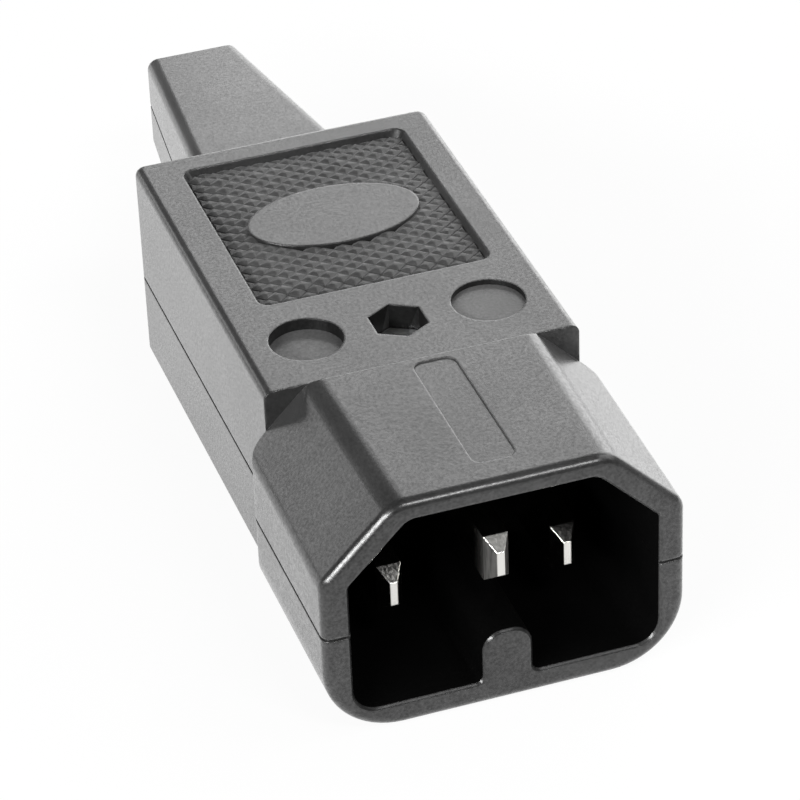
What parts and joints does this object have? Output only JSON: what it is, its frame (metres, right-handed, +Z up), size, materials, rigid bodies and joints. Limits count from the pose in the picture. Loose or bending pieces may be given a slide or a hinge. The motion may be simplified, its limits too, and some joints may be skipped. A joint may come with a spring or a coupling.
{
  "type": "rewirable mains plug",
  "caption": "Straight black rewirable plug with flat blades recessed in a chamfered shroud, a keyed mating face and a tapered cable nose.",
  "frame": {"origin": "under the middle of the plug's length, at the height of the shroud's underside", "axes": "+Z up, the mating rim faces -Y, the cable nose points to +Y"},
  "size_m": [0.0288, 0.0818, 0.0203],
  "materials": {
    "case": "black thermoset moulding, satin gloss",
    "contact": "bright nickel plating on brass",
    "steel": "zinc plated, turned",
    "clamp": "black moulding, dull"
  },
  "bodies": {
    "root": {"upper_shell": "case", "lower_shell": "case", "left_power_pin": "contact", "right_power_pin": "contact", "earth_pin": "contact", "left_terminal_screw": "steel", "right_terminal_screw": "steel", "earth_terminal_screw": "steel", "case_screw": "steel", "case_nut": "steel", "cord_clamp": "clamp", "left_clamp_screw": "steel", "right_clamp_screw": "steel"}
  },
  "joints": []
}
